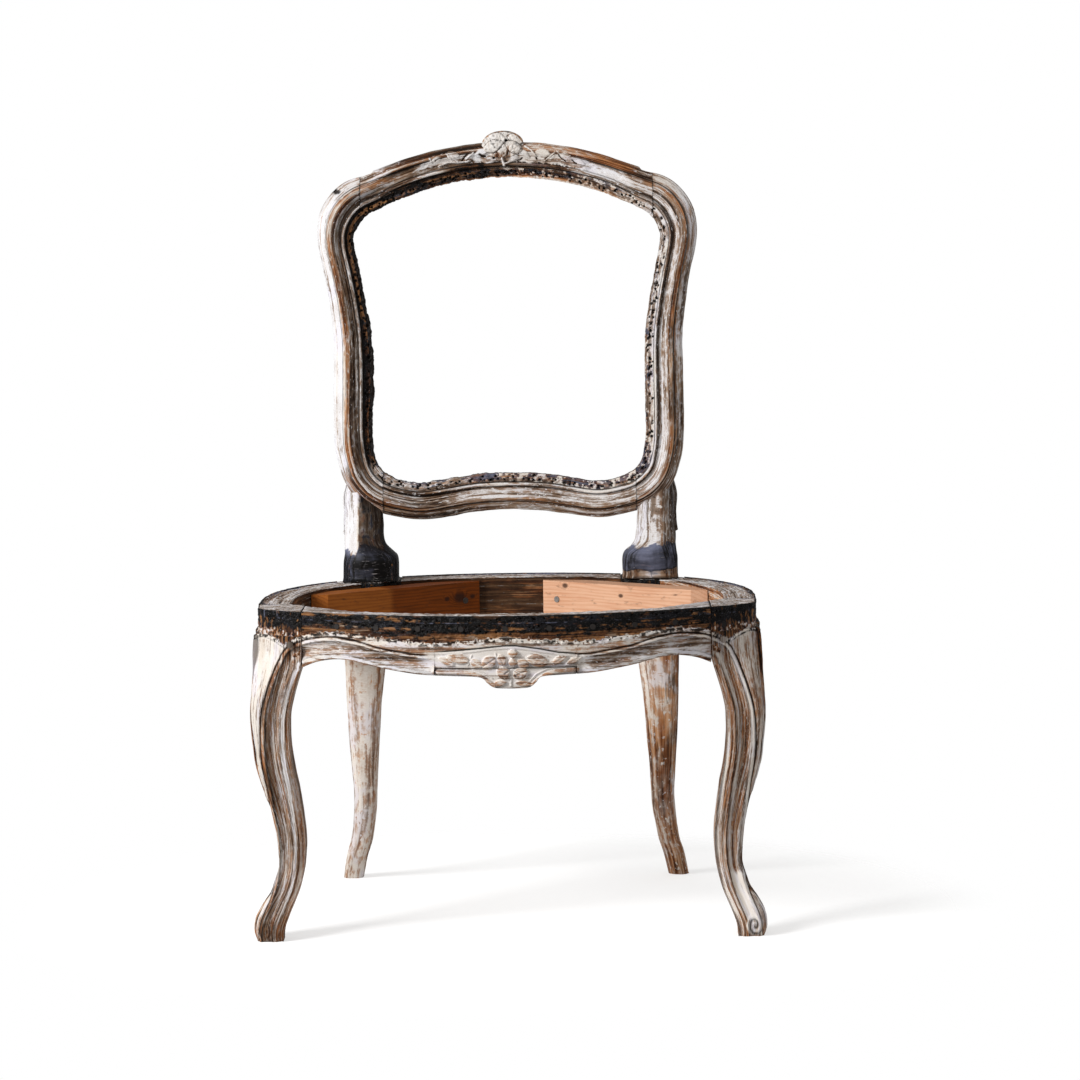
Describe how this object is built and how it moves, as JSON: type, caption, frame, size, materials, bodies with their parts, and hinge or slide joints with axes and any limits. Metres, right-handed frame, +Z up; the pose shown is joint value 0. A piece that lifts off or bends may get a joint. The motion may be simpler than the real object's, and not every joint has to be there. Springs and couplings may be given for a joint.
{
  "type": "rococo side chair frame",
  "caption": "Stripped frame of a low rococo side chair: moulded open back with a carved flower, serpentine front rail and cabriole legs in worn pale paint",
  "frame": {"origin": "on the floor under the middle of the chair outline", "axes": "+Z up the back, -Y out through the front rail, +X to the right as seen from the front"},
  "size_m": [0.556, 0.524, 0.875],
  "materials": {
    "painted_wood": "worn",
    "tarred_wood": "worn",
    "bare_wood": "worn",
    "new_pine": "matte",
    "peg_oak": "worn",
    "rusty_iron": "worn"
  },
  "bodies": {
    "root": {"front_leg_left": "painted_wood", "front_leg_right": "painted_wood", "rear_leg_left": "painted_wood", "rear_leg_right": "painted_wood", "front_seat_rail": "tarred_wood", "apron_pendant": "painted_wood", "side_seat_rail_left": "bare_wood", "side_seat_rail_right": "bare_wood", "rear_seat_rail": "bare_wood", "crest_rail": "painted_wood", "lower_back_rail": "painted_wood", "rear_corner_board_left": "new_pine", "rear_corner_board_right": "new_pine", "front_rail_pegs": "peg_oak", "side_rail_pegs": "peg_oak", "rear_rail_pegs": "peg_oak", "crest_rail_pegs": "peg_oak", "lower_back_rail_pegs": "peg_oak", "corner_board_nails": "rusty_iron", "upholstery_tacks": "rusty_iron"}
  },
  "joints": []
}
